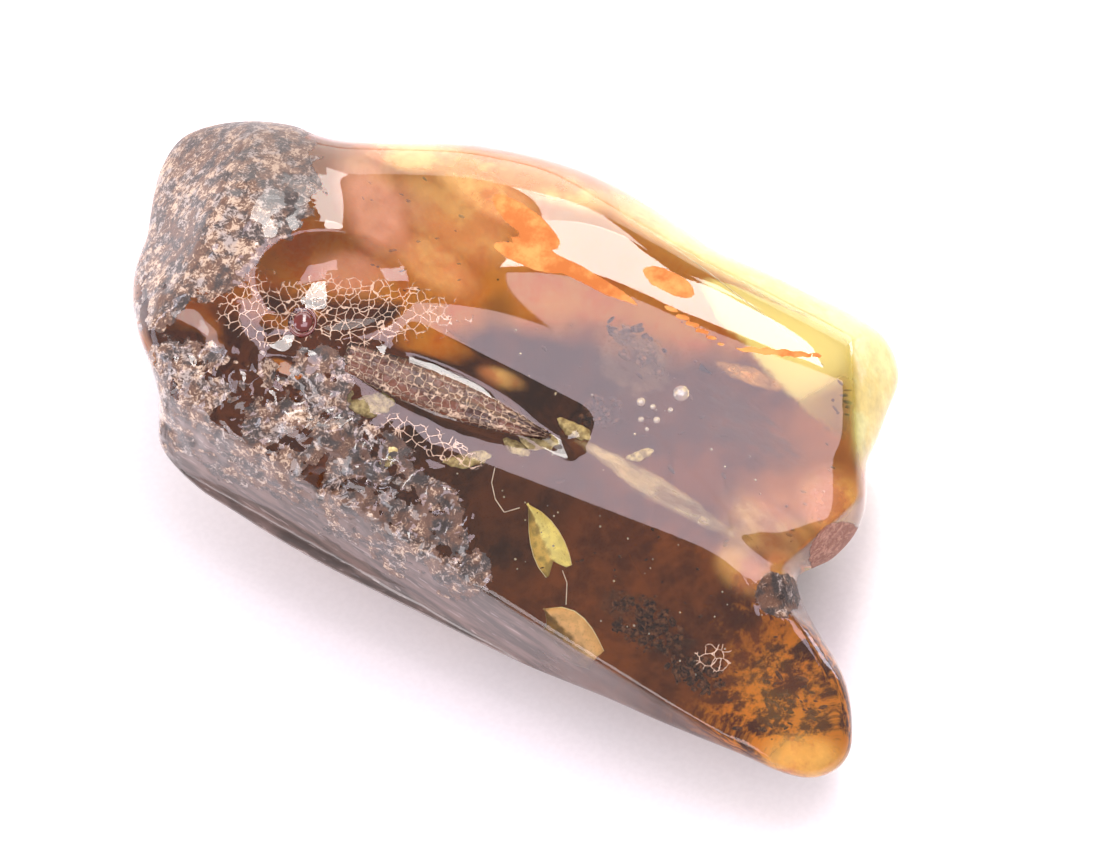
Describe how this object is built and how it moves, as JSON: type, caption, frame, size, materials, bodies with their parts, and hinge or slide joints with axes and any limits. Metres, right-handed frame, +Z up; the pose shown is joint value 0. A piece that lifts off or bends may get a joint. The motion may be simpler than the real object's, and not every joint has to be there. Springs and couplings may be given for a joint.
{
  "type": "baltic amber stone",
  "caption": "Polished, see-through baltic amber stone with weathered crust at one end, a notched lobe, and leaf scales and bark crumbs sealed inside.",
  "frame": {"origin": "middle of the stone's bounding box, on the surface that it rests on", "axes": "+X along the stone from its crust end to its two lobes, +Y from the steep ground side to the rounded side, +Z up"},
  "size_m": [0.0664, 0.0366, 0.0232],
  "materials": {
    "amber": "polished, clear orange-brown resin with brown-grey crackled crust at one end",
    "leaf_scale": "dry, yellow-green, finely veined",
    "bark_crumb": "dark, crumbly",
    "fibre": "dull, fibrous"
  },
  "bodies": {
    "root": {"amber_upper": "amber", "amber_lower": "amber", "leaf_scale_upper": "leaf_scale", "leaf_scale_lower": "leaf_scale", "bark_crumb_middle": "bark_crumb", "bark_crumb_near": "bark_crumb", "bark_crumb_tip": "bark_crumb", "fibre_wisp_far": "fibre"}
  },
  "joints": []
}
